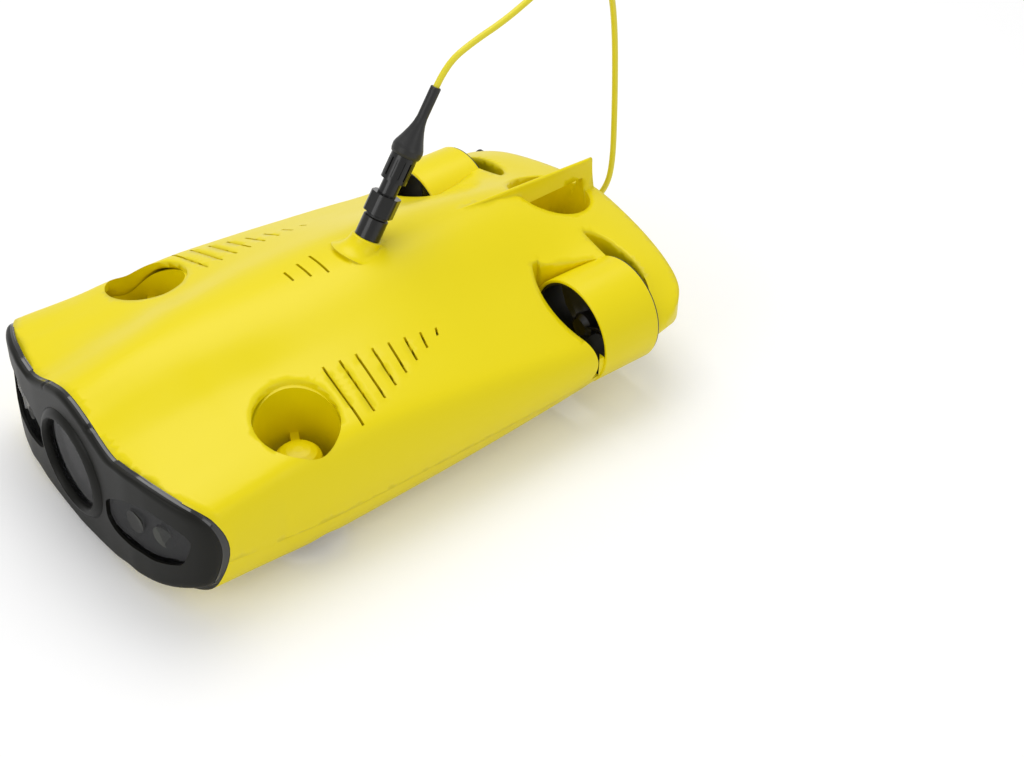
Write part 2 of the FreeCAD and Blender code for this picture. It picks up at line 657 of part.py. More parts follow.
lift_gap = size.tunnel_bore - size.blade_gap
for name, x, y, rise, angles, hand in (
        ("front_port", size.lift_offset, -size.lift_station, 0.0, (33, 153, 273), 1),
        ("front_starboard", -size.lift_offset, -size.lift_station, 0.0, (27, 147, 267), -1),
        ("rear", 0.0, size.tail_lift_station, size.tail_hub_rise, (30, 150, 270), 1)):
    foot = size.hub_top - size.hub_height + rise
    dome = turned(f"hub_dome_{name}", [
        ("0", "0"), ("hub_radius", "0"), ("hub_radius", "0.45*hub_height"),
        ("0.93*hub_radius", "0.68*hub_height"), ("0.76*hub_radius", "0.85*hub_height"),
        ("0.5*hub_radius", "0.95*hub_height"),
        ("0.2*hub_radius", "hub_height"), ("0", "hub_height")], (x, y, foot))
    arms = []
    for i, angle in enumerate(angles):
        arm = doc.addObject("Part::Box", f"hub_arm_{name}_{i}")
        bind(arm, Length="tunnel_bore+2", Width="arm_width", Height="arm_depth")
        turn = Rotation(Z, angle)
        half_arm = turn.multVec(Vector(0, size.arm_width / 2, 0))
        arm.Placement = Placement(Vector(x, y, foot + 1) - half_arm, turn)
        arms.append(arm)
    spider = doc.addObject("Part::MultiFuse", f"hub_spider_{name}")
    spider.Shapes = [dome] + arms
    room = primitive("Cylinder", f"hub_room_{name}", (x, y, foot), Radius="tunnel_bore", Height="hub_height")
    node("hub_" + name, combine("Common", "hub_" + name, spider, room))
    node("lift_motor_" + name, thruster_motor(f"lift_motor_{name}", (x, y, foot), -Z,
                                              "motor_radius", "motor_length"))
    wheel = propeller(lift_gap, size.blade_chord, 40.0, hand)
    level = foot - size.motor_length - size.propeller_gap
    node("lift_propeller_" + name, given("lift_propeller_" + name, wheel,
                                         Placement(Vector(x, y, level), Rotation(X, 180))))
    if name != "rear":
        tube = rod(size.tunnel_bore + size.tunnel_wall, FAR / 4, (x, y, -5)).cut(
            rod(size.tunnel_bore, FAR / 4, (x, y, -5)))
        node("tunnel_" + name, given("tunnel_" + name, tube.common(cavity)))

for side, x, hand in (("port", size.duct_offset, 1), ("starboard", -size.duct_offset, -1)):
    front = (x, size.duct_front, size.duct_height)
    span = "(duct_back-duct_front)"
    node("duct_" + side, turned("duct_" + side, [
        ("duct_radius-duct_wall", "0.5"), ("duct_radius-0.75*duct_wall", "0"),
        ("duct_radius-0.25*duct_wall", "0"),
        ("duct_radius", "0.5"), ("duct_radius", span + "-0.6"), ("duct_radius-0.4", span),
        ("duct_radius-duct_wall", span)], front, Y))
    bore = "duct_radius-duct_wall-liner_wall"
    node("duct_liner_" + side, turned("duct_liner_" + side, [
        (bore, "1"), ("duct_radius-duct_wall", "1"), ("duct_radius-duct_wall", span),
        ("duct_radius-0.4", span), ("duct_radius-0.6", span + "+liner_proud"), (bore, span + "+liner_proud")],
        front, Y))
    pod_at = (x, size.pod_station + size.pod_length, size.duct_height)
    shell = turned(f"rear_pod_{side}", [
        ("0", "0"), ("0.55*pod_radius", "0"), ("0.9*pod_radius", "2"), ("pod_radius", "5"),
        ("pod_radius", "pod_length"), ("shaft_radius", "pod_length"),
        ("shaft_radius", "pod_length+propeller_length-cap_length"),
        ("0", "pod_length+propeller_length-cap_length")], pod_at, -Y)
    vanes = []
    for i in range(4):
        vane = doc.addObject("Part::Box", f"rear_vane_{side}_{i}")
        bind(vane, Length="duct_radius", Width="stator_chord", Height="stator_width")
        turn = Rotation(Y, 45 + 90 * i)
        vane.Placement = Placement(Vector(x, size.pod_station + 6, size.duct_height)
                                   - turn.multVec(Vector(0, 0, size.stator_width / 2)), turn)
        vanes.append(vane)
    spider = doc.addObject("Part::MultiFuse", f"rear_spider_{side}")
    spider.Shapes = [shell] + vanes
    room = primitive("Cylinder", f"rear_room_{side}", (x, size.pod_station - size.propeller_length,
                                                       size.duct_height), Rotation(Z, Y),
                     Radius=bore, Height="pod_length+2*propeller_length")
    node("rear_motor_" + side, combine("Common", "rear_motor_" + side, spider, room))
    wheel = propeller(size.duct_radius - size.duct_wall - size.liner_wall - size.blade_gap, 17.0, 60.0, hand)
    node("rear_propeller_" + side, given("rear_propeller_" + side, wheel, Placement(
        Vector(x, size.pod_station - size.propeller_gap, size.duct_height), Rotation(X, 90))))


# ---------------------------------------------------------------- inside

vessel_at = (0, -size.vessel_front, size.vessel_height)
vessel_length = "(vessel_front+vessel_back)"
node("pressure_hull", turned("pressure_hull", [
    ("vessel_radius-vessel_wall", "0"), ("vessel_radius", "0"), ("vessel_radius", vessel_length),
    ("0", vessel_length), ("0", vessel_length + "-vessel_wall"),
    ("vessel_radius-vessel_wall", vessel_length + "-vessel_wall")], vessel_at, Y))
groove = "vessel_radius-vessel_wall-2*seal_radius"
spigot = "vessel_radius-vessel_wall"
node("pressure_lid", turned("pressure_lid", [
    ("0", "0"), ("vessel_radius+lid_overhang", "0"), ("vessel_radius+lid_overhang", "lid_thickness"),
    (spigot, "lid_thickness"), (spigot, "lid_thickness+2"), (groove, "lid_thickness+2"),
    (groove, "lid_thickness+2+2*seal_radius"), (spigot, "lid_thickness+2+2*seal_radius"),
    (spigot, "lid_thickness+4+2*seal_radius"), ("0", "lid_thickness+4+2*seal_radius")],
    (0, -size.vessel_front - size.lid_thickness, size.vessel_height), Y))
node("lid_seal", turned("lid_seal", [
    (groove, "0"), (spigot, "0"), (spigot, "2*seal_radius"), (groove, "2*seal_radius")],
    (0, -size.vessel_front + 2, size.vessel_height), Y))
node("battery_pack", turned("battery_pack", [
    ("0", "0"), (spigot, "0"), (spigot, "4"), ("battery_radius", "4"), ("battery_radius", "battery_length-4"),
    (spigot, "battery_length-4"), (spigot, "battery_length"), ("0", "battery_length")],
    (0, -size.vessel_front + 10, size.vessel_height), Y))
inner = rod(size.vessel_radius - size.vessel_wall, FAR, (0, -FAR / 2, size.vessel_height), Y)
for label, level in (("main_board", 8.0), ("motor_driver_board", -9.0)):
    base = size.vessel_height + level
    board = slab((-FAR, -10, base), (FAR, size.board_length - 10, base + size.board_thickness)).common(inner)
    for x, y, wide, deep, tall in ((0, 8, 16, 16, 2.5), (-13, 40, 9, 20, 4.0), (13, 44, 9, 12, 3.0)):
        part = slab((x - wide / 2, y - deep / 2, base + size.board_thickness),
                    (x + wide / 2, y + deep / 2, base + size.board_thickness + tall))
        board = board.fuse(part)
    node(label, given(label, board))
weights = both_sides(slab((44, -20, 0), (44 + size.weight_width, -20 + size.weight_length,
                                         5 + size.weight_thickness)).common(cavity))
node("trim_weights", given("trim_weights", Part.makeCompound(weights)))
stem = rod(size.sensor_radius - 2, 17, (0, size.sensor_station, -5)).common(outer)
node("depth_sensor", given("depth_sensor", stem.fuse(
    rod(size.sensor_radius, size.sensor_height, (0, size.sensor_station, 12)))))
screws = []
for x, y in SCREWS:
    one = rod(size.screw_radius, size.screw_length, (x, y, size.screw_base)).fuse(
        rod(size.screw_head_radius, size.screw_head, (x, y, size.screw_base)))
    screws += both_sides(one)
node("shell_screws", given("shell_screws", Part.makeCompound(screws)))
pads = []
for x, y in FEET:
    pads += both_sides(rod(size.foot_radius, 12, (x, y, 0)).cut(outer))
node("foot_pads", given("foot_pads", Part.makeCompound(pads)))
insert = turned("accessory_insert", [
    ("insert_radius", "0"), ("insert_radius+insert_wall", "0"), ("insert_radius+insert_wall", "insert_length"),
    ("insert_radius", "insert_length")], (0, size.insert_station, 2.0))
node("accessory_insert", insert)


# ---------------------------------------------------------------- tether socket and plug

def plug_piece(label, outline, distance):
    """A turned piece on the plug's axis."""
    return node(label, turned(label, outline, on_plug(distance), plug_axis))


plug_piece("tether_socket", [
    ("0", "0"), ("socket_neck", "0"), ("socket_neck", "16"), ("socket_radius", "16"),
    ("socket_radius", "15.4+socket_length"), ("socket_radius-0.6", "16+socket_length"),
    ("0", "16+socket_length")], -16)
plug_piece("socket_seal", [
    ("socket_neck-2", "0"), ("socket_neck+0.4", "0"), ("socket_neck+0.4", "1"), ("socket_neck-2", "1")],
    size.socket_length)
neck_end = size.socket_length + size.socket_gap
nut_end = neck_end + size.nut_length
ring_start = nut_end + size.plug_neck_length
nut = rod(size.nut_radius, size.nut_length, (0, 0, size.socket_gap))
flats = Part.makePolygon([Vector(size.nut_radius / math.cos(math.pi / 6) * 0.93 * math.cos(math.pi * i / 3),
                                 size.nut_radius / math.cos(math.pi / 6) * 0.93 * math.sin(math.pi * i / 3),
                                 size.socket_gap) for i in range(7)])
nut = nut.common(Part.Face(flats).extrude(Vector(0, 0, size.nut_length)))
core = size.plug_neck - 0.7
rest = ring_start - size.socket_length
plug = nut.fuse([rod(size.socket_neck, size.socket_gap, (0, 0, 1)).cut(
    rod(size.socket_neck - 2, 0.5, (0, 0, 0))).common(rod(FAR, 10, (0, 0, 1))),
    rod(size.socket_neck - 2, size.socket_gap, (0, 0, 0)),
    rod(size.plug_neck, rest - size.socket_gap - size.nut_length, (0, 0, size.socket_gap + size.nut_length)),
    rod(core, size.ring_length + 2 * size.ring_clearance, (0, 0, rest))])
node("plug_body", given("plug_body", plug, Placement(on_plug(size.socket_length), Rotation(Z, plug_axis))))
grip = rod(size.ring_radius, size.ring_length, (0, 0, 0)).cut(
    rod(core + size.shaft_clearance, size.ring_length, (0, 0, 0)))
for i in range(12):
    groove_cut = slab((size.ring_radius - 0.7, -0.6, 2.5), (size.ring_radius + 2, 0.6, size.ring_length - 2.5))
    groove_cut.rotate(Vector(), Z, 30 * i)
    grip = grip.cut(groove_cut)
node("coupling_ring", given("coupling_ring", grip, Placement(
    on_plug(ring_start + size.ring_clearance), Rotation(Z, plug_axis))))
boot_start = ring_start + size.ring_length + 2 * size.ring_clearance
plug_piece("strain_relief", [
    ("0", "0"), ("boot_radius-0.7", "0"), ("boot_radius-0.2", "1.5"), ("boot_radius", "4.4"),
    ("boot_radius-0.5", "6.2"), ("0.72*boot_radius", "11"), ("0.52*boot_radius", "16"),
    ("0.4*boot_radius", "20"), ("sleeve_radius", "boot_length"), ("0", "boot_length")], boot_start)
sleeve_start = boot_start + size.boot_length
plug_piece("plug_sleeve", [
    ("0", "0"), ("sleeve_radius", "0"), ("sleeve_radius", "sleeve_length-0.4"),
    ("sleeve_radius-0.4", "sleeve_length"), ("0", "sleeve_length")], sleeve_start)
tether_start = on_plug(sleeve_start + size.sleeve_length)


# ---------------------------------------------------------------- tether

def cord(points, radius):
    """A round cord of straight runs and tangent arcs through the points. Prints its radii and volume."""
    edges, here = [], points[0]
    radii = []
    for before, corner, after in zip(points, points[1:], points[2:]):
        back, ahead = (before - corner), (after - corner)
        shorter = min(back.Length, ahead.Length)
        half_turn = (math.pi - back.getAngle(ahead)) / 2
        cut = 0.45 * shorter
        radii.append(cut / math.tan(half_turn))
        start = corner + back.normalize() * cut
        stop = corner + ahead.normalize() * cut
        bisector = (back + ahead).normalize()
        middle = corner + bisector * (radii[-1] / math.cos(half_turn) - radii[-1])
        edges += [Part.LineSegment(here, start).toShape(), Part.Arc(start, middle, stop).toShape()]
        here = stop
    edges.append(Part.LineSegment(here, points[-1]).toShape())
    wire = Part.Wire(edges)
    across = Part.Circle(points[0], points[1] - points[0], radius)
    tube = wire.makePipeShell([Part.Wire(across.toShape())], True, False)
    expected = math.pi * radius ** 2 * wire.Length
    print("cord radii", [round(r, 1) for r in radii], "length", round(wire.Length, 1),
          "volume", round(tube.Volume, 1), "expected", round(expected, 1))
    return tube


# The cord stands up out of the plug, bends over aft and comes down behind the tail, where it is coiled.
coil_at = Vector(-100, 201, 0.8)
outer_turn = size.coil_radius + size.coil_width / 2 - size.tether_radius
entry = coil_at + Vector(size.coil_lead, outer_turn, size.coil_height - size.tether_radius)
leave = coil_at + Vector(-size.coil_lead, outer_turn, size.tether_radius)
ROUTE = ((0, 92, 215.5), (0, 117, 222), (-2, 146, 233), (-8, 176, 237), (-17, 203, 224), (-26, 222, 199),
         (-32, 233, 166), (-35, 239, 128), (-36, 242, 92), (-36, 243, 62), (-38, 242, 42), (-48, 240, 24))
tether_points = [tether_start, tether_start + plug_axis * size.first_run]
tether_points += [Vector(*p) for p in ROUTE] + [entry + Vector(16, 0, 0), entry]
node("tether", given("tether", cord(tether_points, size.tether_radius)))
coil = rod(size.coil_radius + size.coil_width / 2, size.coil_height, coil_at).cut(
    rod(size.coil_radius - size.coil_width / 2, size.coil_height, coil_at))
coil = coil.fuse([rod(size.tether_radius, size.coil_lead, entry, -X),
                  rod(size.tether_radius, size.coil_lead, leave, X)])
plug_face = Vector(leave.x - 38, leave.y + 0.6, size.far_plug_radius)
tail_points = [leave, leave + Vector(-12, 0, 0), Vector(leave.x - 26, plug_face.y, plug_face.z), plug_face]
node("tether_end", given("tether_end", cord(tail_points, size.tether_radius)))
tie_width = size.coil_width + 1.6
tie = slab((coil_at.x - size.coil_radius - tie_width / 2, coil_at.y - 4, 0),
           (coil_at.x - size.coil_radius + tie_width / 2, coil_at.y + 4, size.coil_height + 1.6)).cut(coil)
node("tether_coil", given("tether_coil", coil))
node("coil_tie", given("coil_tie", tie))
node("topside_connector", turned("topside_connector", [
    ("0", "0"), ("0.6*far_plug_radius", "0"), ("far_plug_radius", "8"), ("far_plug_radius", "far_plug_length"),
    ("0", "far_plug_length")], plug_face, -X))


# ---------------------------------------------------------------- checks and files

doc.recompute()
faults = [o.Label for o in doc.Objects if {"Invalid", "Error"} & set(o.State)]
faults += [label for label, feature in nodes.items() if feature.Shape.isNull() or not feature.Shape.isValid()]
if faults:
    raise SystemExit("unsound: " + ", ".join(faults))
os.makedirs("parts", exist_ok=True)
for label, feature in nodes.items():
    feature.Shape.exportStep(f"parts/{label}.step")
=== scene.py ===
import json
import math

import bmesh
import bpy
import numpy as np
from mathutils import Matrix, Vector


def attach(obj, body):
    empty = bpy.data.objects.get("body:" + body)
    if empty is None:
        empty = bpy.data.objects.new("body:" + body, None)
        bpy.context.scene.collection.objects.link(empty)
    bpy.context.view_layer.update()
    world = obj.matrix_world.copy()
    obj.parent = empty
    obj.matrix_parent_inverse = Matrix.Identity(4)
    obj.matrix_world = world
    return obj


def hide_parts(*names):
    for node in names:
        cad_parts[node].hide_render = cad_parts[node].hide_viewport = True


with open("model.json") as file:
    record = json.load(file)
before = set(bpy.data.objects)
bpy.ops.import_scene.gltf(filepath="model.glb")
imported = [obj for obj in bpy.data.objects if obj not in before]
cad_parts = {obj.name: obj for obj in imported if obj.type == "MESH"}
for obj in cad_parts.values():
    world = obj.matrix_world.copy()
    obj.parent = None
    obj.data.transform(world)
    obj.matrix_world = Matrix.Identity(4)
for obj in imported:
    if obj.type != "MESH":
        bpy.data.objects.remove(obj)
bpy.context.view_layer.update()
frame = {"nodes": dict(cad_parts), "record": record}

# The vehicle's nose points along -Y and its port side along +X. Its own sizes are in millimetres, and times
# MM they are in metres; the camera, the lights and the looks are in metres throughout.
MM = 0.001

# ---------------------------------------------------------------- camera

scene = bpy.context.scene
camera_data = bpy.data.cameras.new("camera")
camera = bpy.data.objects.new("camera", camera_data)
scene.collection.objects.link(camera)
camera.location = (0.7106, -0.4735, 0.7050)
target = Vector((0.05361, 0.03130, 0.03269))
camera.rotation_euler = (target - camera.location).to_track_quat("-Z", "Y").to_euler()
SENSOR_WIDTH = 36.0
FOCAL_TO_WIDTH = 1.7391113
camera_data.sensor_width = SENSOR_WIDTH
camera_data.lens = FOCAL_TO_WIDTH * SENSOR_WIDTH
camera_data.shift_x = 0.0653
camera_data.shift_y = 0.0012
camera_data.clip_start = 0.05
camera_data.clip_end = 20.0
scene.camera = camera
scene.view_settings.view_transform = "Standard"
scene.view_settings.look = "None"

# ---------------------------------------------------------------- tether

# The cord stands up out of the plug, bends over aft, comes down behind the tail and is coiled there.
TETHER_RADIUS = 0.002
COIL = Vector((-100, 201, 0.8))
COIL_RADIUS, COLUMNS, LAYERS, PITCH = 27.0, 5, 4, 4.2
OUTER_TURN = COIL_RADIUS + (COLUMNS - 1) * PITCH / 2
COIL_LEAD = 18.0
TURN_STEPS = 16
PLUG_TILT = math.radians(32)
PLUG_FOOT = Vector((0, 14.9, 113.7))
PLUG_AXIS = Vector((0, math.sin(PLUG_TILT), math.cos(PLUG_TILT)))
PLUG_LENGTH = 96.6
FIRST_RUN = 14.4
TETHER_START = PLUG_FOOT + PLUG_AXIS * PLUG_LENGTH
LOW_LAYER = PITCH / 2 - 0.1
TOP_LAYER = LOW_LAYER + (LAYERS - 1) * PITCH
ENTRY = COIL + Vector((COIL_LEAD, OUTER_TURN, TOP_LAYER))
route = [TETHER_START, TETHER_START + PLUG_AXIS * FIRST_RUN] + [Vector(p) for p in (
    (0, 92, 215.5), (0, 117, 222), (-2, 146, 233), (-8, 176, 237), (-17, 203, 224), (-26, 222, 199),
    (-32, 233, 166), (-35, 239, 128), (-36, 242, 92), (-36, 243, 62), (-38, 242, 42), (-48, 240, 24))]
route += [ENTRY + Vector((16, 0, 0)), ENTRY]
path = []
for layer in range(LAYERS):
    inward = layer % 2 == 0
    for step in range(COLUMNS * TURN_STEPS + (1 if layer == LAYERS - 1 else 0)):
        turns = step / TURN_STEPS
        column = min(turns, COLUMNS - 1)
        radius = OUTER_TURN - PITCH * (column if inward else COLUMNS - 1 - column)
        drop = max(0.0, turns - (COLUMNS - 0.5)) * 2 if layer < LAYERS - 1 else 0.0
        height = TOP_LAYER - PITCH * (layer + drop)
        angle = 2 * math.pi * turns
        path.append(COIL + Vector((-radius * math.sin(angle), radius * math.cos(angle), height)))
leave = COIL + Vector((-COIL_LEAD, OUTER_TURN, LOW_LAYER))
plug_face = Vector((leave.x - 30, leave.y - 4, 5.2))
tail = [leave, leave + Vector((-9, 0, 0)), Vector((leave.x - 19, plug_face.y, plug_face.z)), plug_face]
points = [p * MM for p in route + path + tail]

curve = bpy.data.curves.new("tether_line", "CURVE")
curve.dimensions = "3D"
curve.bevel_depth = TETHER_RADIUS
curve.bevel_resolution = 4
curve.resolution_u = 5
curve.use_fill_caps = True
spline = curve.splines.new("NURBS")
spline.points.add(len(points) - 1)
for knot, p in zip(spline.points, points):
    knot.co = (*p, 1)
# These two hold only if they are set once the points are there.
spline.order_u = 3
spline.use_endpoint_u = True
tether = bpy.data.objects.new("tether_line", curve)
scene.collection.objects.link(tether)


def line_length(spline_points, pieces=8):
    """The length of a quadratic B-spline, each of whose spans is a parabola, by short straight pieces."""
    total = 0.0
    ends = [spline_points[0]] + [(a + b) / 2 for a, b in zip(spline_points[1:-2], spline_points[2:-1])]
    ends.append(spline_points[-1])
    for i, middle in enumerate(spline_points[1:-1]):
        a, b = ends[i], ends[i + 1]
        last = a
        for j in range(1, pieces + 1):
            t = j / pieces
            here = a * (1 - t) ** 2 + middle * 2 * t * (1 - t) + b * t ** 2
            total += (here - last).length
            last = here
    return total


TETHER_LENGTH = line_length(points)

# ---------------------------------------------------------------- materials

COAT_ROUGHNESS = 0.08
TONE_SCALE = 18.0
SMOOTHEST = 0.02
ROUGH_SPREAD = 0.04
BUMP_HEIGHT = 0.0002
SHARP_ANGLE = 32


def material(name, color, rough=0.5, metal=0.0, coat=0.0, bump=0.0, bump_scale=800.0, grain=0.0, **more):
    """A material with a slightly uneven roughness, and a fine bump and a mottled colour where asked for."""
    made = bpy.data.materials.new(name)
    made.use_nodes = True
    nodes, links = made.node_tree.nodes, made.node_tree.links
    bsdf = nodes["Principled BSDF"]
    bsdf.inputs["Base Color"].default_value = (*color, 1)
    bsdf.inputs["Metallic"].default_value = metal
    bsdf.inputs["Coat Weight"].default_value = coat
    bsdf.inputs["Coat Roughness"].default_value = COAT_ROUGHNESS
    for key, value in more.items():
        bsdf.inputs[key.replace("_", " ")].default_value = value
    place = nodes.new("ShaderNodeTexCoord")
    tone = nodes.new("ShaderNodeTexNoise")
    tone.inputs["Scale"].default_value = TONE_SCALE
    links.new(place.outputs["Object"], tone.inputs["Vector"])
    spread = nodes.new("ShaderNodeMapRange")
    spread.inputs["To Min"].default_value = max(SMOOTHEST, rough - ROUGH_SPREAD)
    spread.inputs["To Max"].default_value = min(1.0, rough + ROUGH_SPREAD)
    links.new(tone.outputs["Fac"], spread.inputs["Value"])
    links.new(spread.outputs["Result"], bsdf.inputs["Roughness"])
    if bump:
        fine = nodes.new("ShaderNodeTexNoise")
        fine.inputs["Scale"].default_value = bump_scale
        links.new(place.outputs["Object"], fine.inputs["Vector"])
        lift = nodes.new("ShaderNodeBump")
        lift.inputs["Strength"].default_value = bump
        lift.inputs["Distance"].default_value = BUMP_HEIGHT
        links.new(fine.outputs["Fac"], lift.inputs["Height"])
        links.new(lift.outputs["Normal"], bsdf.inputs["Normal"])
    if grain:
        mix = nodes.new("ShaderNodeMixRGB")
        mix.blend_type = "MULTIPLY"
        mix.inputs["Fac"].default_value = grain
        mix.inputs["Color1"].default_value = (*color, 1)
        links.new(tone.outputs["Color"], mix.inputs["Color2"])
        links.new(mix.outputs["Color"], bsdf.inputs["Base Color"])
    return made


LOOKS = {
    "shell_yellow": material("shell_yellow", (0.86, 0.71, 0.0), 0.34, bump=0.04, bump_scale=1500,
                             Specular_IOR_Level=0.3),
    "face_black": material("face_black", (0.006, 0.006, 0.004), 0.42, bump=0.15, bump_scale=2500,
                           Specular_IOR_Level=0.22),
    "trim_black": material("trim_black", (0.004, 0.004, 0.004), 0.12, coat=0.6),
    "plug_black": material("plug_black", (0.006, 0.006, 0.006), 0.22, bump=0.05),
    "seal_rubber": material("seal_rubber", (0.012, 0.012, 0.012), 0.42, bump=0.2),
    "foot_rubber": material("foot_rubber", (0.02, 0.02, 0.02), 0.7, bump=0.3),
    "window_clear": material("window_clear", (0.003, 0.003, 0.004), 0.03, Alpha=0.45, IOR=1.45),
    "lens_glass": material("lens_glass", (0.004, 0.006, 0.012), 0.03, coat=1.0, IOR=1.7),
    "camera_black": material("camera_black", (0.006, 0.006, 0.007), 0.35),
    "lamp_board": material("lamp_board", (0.03, 0.03, 0.02), 0.3, grain=0.3),
    "liner_black": material("liner_black", (0.008, 0.008, 0.008), 0.45),
    "propeller_black": material("propeller_black", (0.012, 0.010, 0.008), 0.3),
    "motor_metal": material("motor_metal", (0.10, 0.10, 0.10), 0.35, metal=1.0),
    "vessel_metal": material("vessel_metal", (0.42, 0.43, 0.45), 0.35, metal=1.0),
    "battery_wrap": material("battery_wrap", (0.02, 0.07, 0.25), 0.3),
    "board_green": material("board_green", (0.01, 0.10, 0.03), 0.4, grain=0.3),
    "weight_steel": material("weight_steel", (0.35, 0.35, 0.36), 0.3, metal=1.0),
    "screw_steel": material("screw_steel", (0.45, 0.45, 0.46), 0.28, metal=1.0),
    "insert_brass": material("insert_brass", (0.62, 0.40, 0.12), 0.28, metal=1.0),
    "cord_yellow": material("cord_yellow", (0.80, 0.70, 0.02), 0.38, bump=0.1),
    "tie_black": material("tie_black", (0.015, 0.015, 0.015), 0.7, bump=0.5),
}

slot_of = {entry["node"]: entry["material_slot"] for entry in frame["record"]["subparts"]}
for name, obj in frame["nodes"].items():
    obj.data.materials.clear()
    obj.data.materials.append(LOOKS[slot_of[name]])
    for face in obj.data.polygons:
        face.use_smooth = True
    obj.data.set_sharp_from_angle(angle=math.radians(SHARP_ANGLE))

# ---------------------------------------------------------------- moulded nose

# At these places along the hull, a row each, and half breadths across it, DECK is the height of the CAD deck
# and RISE is how far the real moulding stands over it. BELLY and BELLY_RISE say the same of the underside.
PLACES = (-206, -178, -152, -122, -91, -50, 0, 50, 96)
BREADTHS = (0, 12, 24, 36, 48, 62, 80, 96, 106)
DECK = ((74, 67, 54, 45, 43, 44, 45, 38, 31),
        (87, 80, 66, 56, 54.5, 55.5, 55, 48, 38),
        (97, 91.5, 79, 67, 62, 62.5, 63, 55, 45),
        (104.5, 102, 95.5, 85.5, 78.5, 75.5, 73.5, 67, 58),
        (107.8, 106.8, 103.3, 97, 91, 87.5, 82.5, 76.5, 68),
        (109.4, 108.4, 105.5, 100.5, 95, 90, 83.5, 75.5, 67),
        (110, 109, 106, 101, 95.5, 89.5, 80.5, 71.5, 63.5),
        (108.3, 107, 103.5, 98, 91.5, 84.5, 75.5, 66.5, 60),
        (104, 102.5, 98, 91.5, 84, 77, 70, 63.5, 58.5))
RISE = ((13, 18, 28, 32, 30, 28.5, 26, 31, 32),
        (6.5, 11.5, 22, 26.5, 24, 22, 21, 26.5, 31),
        (3, 6.5, 14.5, 21, 21.5, 18.5, 16, 20.5, 25),
        (0.3, 1.5, 4, 8, 10, 9.5, 8, 10, 13),
        (0, 0, 0, 0, 0, 0, 0.5, 2.5, 4),
        (0, 0, 0, 0, 0, 0, 1, 3, 4),
        (0, 0, 0, 0, 0, 0, 1, 3, 4),
        (0, 0, 0, 0, 0, 0, 1, 2.5, 3),
        (0, 0, 0, 0, 0, 0, 0, 0, 0))
BELLY_BREADTHS = (0, 36, 58, 78, 95, 105)
BELLY = (1.6, 2.4, 6, 8, 12, 18)
BELLY_RISE = (0, 1.5, 3.5, 5.5, 4.5, 3)
NOSE_PLAN = ((0, -183.2), (40, -182.8), (60, -181.6), (76, -178.2), (87, -174.6), (96, -170.8),
             (104, -166.3), (110, -161.5), (113, -156.5), (114.5, -150), (120, -138))
LAMP_OUTLINE = ((39.3, 48.6), (52.9, 58.2), (64, 62.5), (76.7, 65.2), (92, 62.3), (100.4, 57), (101.6, 53.2),
                (99.5, 45), (96.3, 37.4), (92.1, 34), (78.7, 29.3), (66.6, 28.6), (46.5, 28.2), (37.6, 33.2),
                (36.6, 41))
# The CAD nose's edge seen from above is a parabola: its tip along Y, and its sweep back at a half breadth.
CAD_NOSE, CAD_SWEEP, CAD_SWEEP_BREADTH = -176.0, 26.0, 108.0
# The nose is drawn forward ahead of SHIFT_START, bellied over a fade and widened over another.
SHIFT_START, SHIFT_POWER = -125.0, 1.5
FADE_START, FADE_LENGTH = -120.0, 50.0
WIDEN_START, WIDEN_LENGTH, WIDEN_SHARE = -118.0, 34.0, 0.034
HALF_BREADTH = 109.0
# Points this near under the deck rise with it in full; towards the sides the margin fades away.
MARGIN, MARGIN_END, MARGIN_FADE = 18.0, 100.0, 18.0
LEAST_HEIGHT = 8.0
# Distances ahead of the nose's edge.
GASKET_BACK, GASKET_FRONT = -0.6, 2.0
FACE_BACK, FACE_FRONT = 1.0, 5.3
FACE_RIM, FACE_RINGS, FACE_SHARP_ANGLE = 0.06, 40, 28
CAMERA_HEIGHT = 47.6
CAMERA_RING = 33.5
ROUND_STEPS = 96
# The softened tables run to TABLE_END, and are mirrored over MIRRORED millimetres at the centre.
TABLE_END, MIRRORED, DECK_REACH = 130, 8, 9
DIVIDING_ROUNDS = 5
FRONT_TOLERANCE = 0.15
TINY = 1e-6


def softened(table, reach=5):
    """A table of numbers every millimetre from the centre outwards, with its corners rounded off."""
    x, y = zip(*table)
    fine = np.interp(np.arange(-MIRRORED, TABLE_END), x, y)
    fine[:MIRRORED] = fine[2 * MIRRORED:MIRRORED:-1]
    kernel = np.hanning(2 * reach + 3)[1:-1]
    return np.convolve(np.pad(fine, reach, mode="edge"), kernel / kernel.sum(), mode="valid")[MIRRORED:]


PLAN = softened(NOSE_PLAN)


def nose_plan(x):
    """The place along Y of the moulding's front edge at a half breadth."""
    return np.interp(np.abs(x), np.arange(len(PLAN)), PLAN)


def cad_edge(x):
    """The same edge in the CAD part, a parabola."""
    return CAD_NOSE + CAD_SWEEP * (x / CAD_SWEEP_BREADTH) ** 2


def surface_at(rows, x, y):
    """Smooth heights at points (x, y), from rows of heights at PLACES and BREADTHS."""
    tables = [softened(list(zip(BREADTHS, row)), DECK_REACH) for row in rows]
    across = np.array([np.interp(np.abs(x), np.arange(len(table)), table) for table in tables])
    place = np.clip(y, PLACES[0], PLACES[-1])
    index = np.clip(np.searchsorted(PLACES, place) - 1, 0, len(PLACES) - 2)
    start, stop = np.take(PLACES, index), np.take(PLACES, index + 1)
    share = (place - start) / (stop - start)
    columns = np.arange(len(x))
    before = across[np.maximum(index - 1, 0), columns]
    a, b = across[index, columns], across[index + 1, columns]
    after = across[np.minimum(index + 2, len(PLACES) - 1), columns]
    return a + 0.5 * share * (b - before + share * (2 * before - 5 * a + 4 * b - after
                                                    + share * (3 * (a - b) + after - before)))


